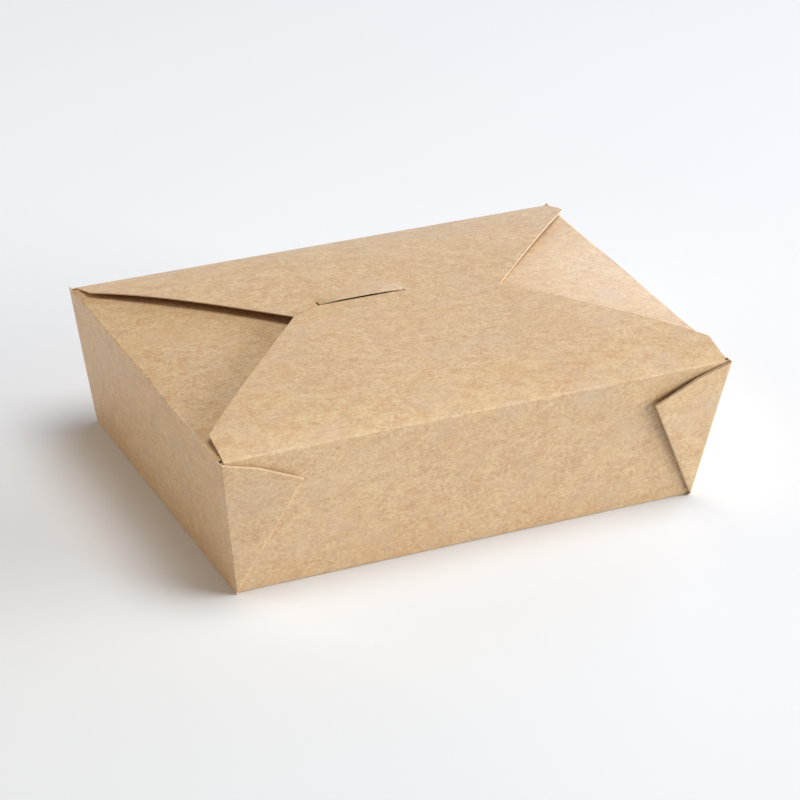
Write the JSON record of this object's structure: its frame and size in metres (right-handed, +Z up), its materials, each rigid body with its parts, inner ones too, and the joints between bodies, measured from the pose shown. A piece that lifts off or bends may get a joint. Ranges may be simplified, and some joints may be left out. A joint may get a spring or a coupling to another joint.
{
  "type": "takeaway box",
  "caption": "Folded kraft board food box with leaning walls, folded corner webs, and a lid of four flaps locked by a tongue in a slit.",
  "frame": {"origin": "middle of the underside of the base", "axes": "+X along the length of the box to the right of the closing flap, +Y from the closing flap's crease to the back, +Z up"},
  "size_m": [0.217, 0.1533, 0.0668],
  "materials": {
    "kraft_board": "matt brown kraft board with fine fibres and paler cut edges"
  },
  "bodies": {
    "box": {"carton": "kraft_board"},
    "closing_flap": {"front_flap": "kraft_board"}
  },
  "joints": [
    {"name": "front_flap_crease", "type": "hinge", "parent": "box", "child": "closing_flap", "pos_m": [0, -0.07477, 0.06078], "axis": [1, 0, 0], "range_deg": [0, 180]}
  ]
}
